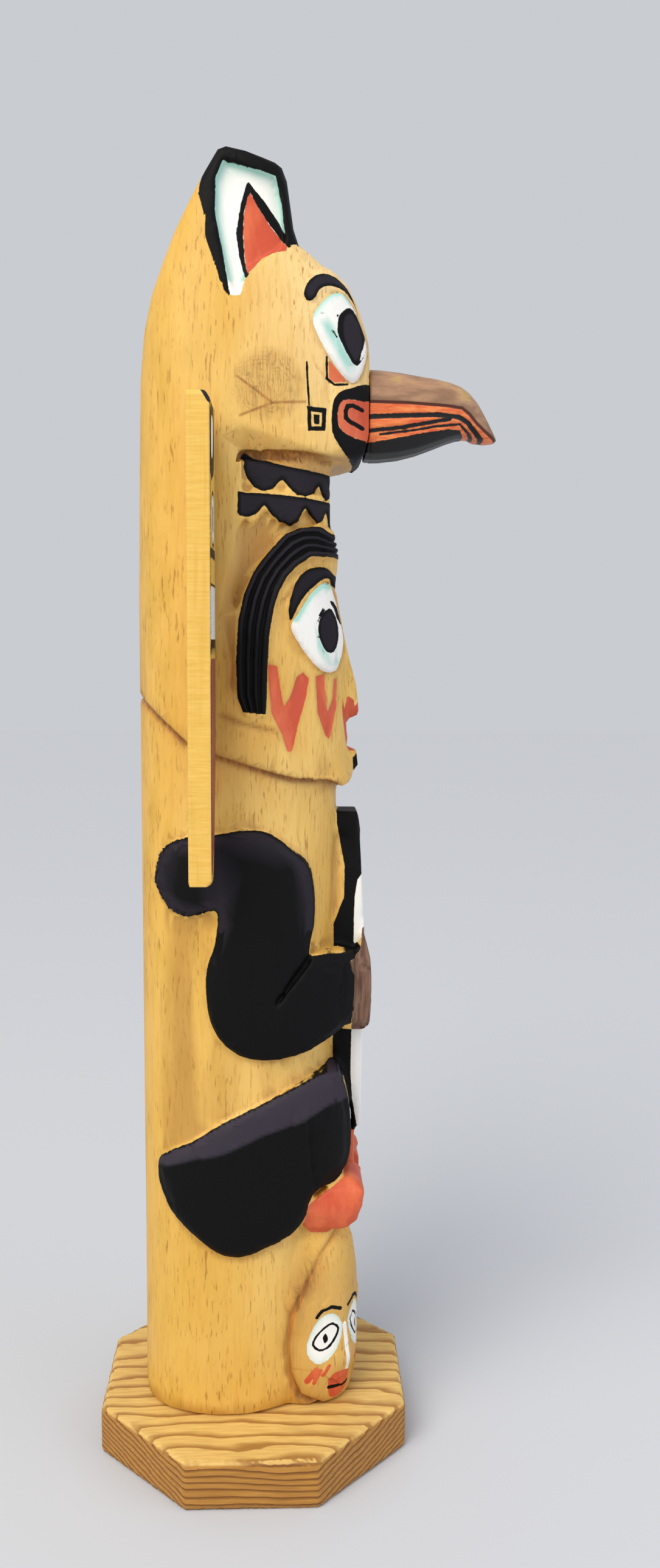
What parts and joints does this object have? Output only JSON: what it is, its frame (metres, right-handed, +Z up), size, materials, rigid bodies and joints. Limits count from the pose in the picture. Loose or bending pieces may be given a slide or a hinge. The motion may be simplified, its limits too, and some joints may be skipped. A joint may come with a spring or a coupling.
{
  "type": "carved totem pole model",
  "caption": "Tabletop carved and painted wooden totem pole: a winged bird over a large face and a figure holding a staff, with a small head at the foot, on an eight-sided board.",
  "frame": {"origin": "centre of the board's underside, where the work stands", "axes": "+Z up along the pole; the figures face -Y; +X is the left wing's side"},
  "size_m": [0.1272, 0.1606, 0.5208],
  "materials": {
    "base_board": "sawn softwood, strong grain, thin clear coat",
    "carved_pole": "knife-finished yellow cedar, satin, with flat hand-painted black, red, brown, white and pale green",
    "painted_beak": "carved wood painted brown, red and black, satin",
    "wing_board": "bare sawn cedar with a painted front face"
  },
  "bodies": {
    "root": {"base": "base_board", "pole": "carved_pole", "beak": "painted_beak", "wing_left": "wing_board", "wing_right": "wing_board"}
  },
  "joints": []
}
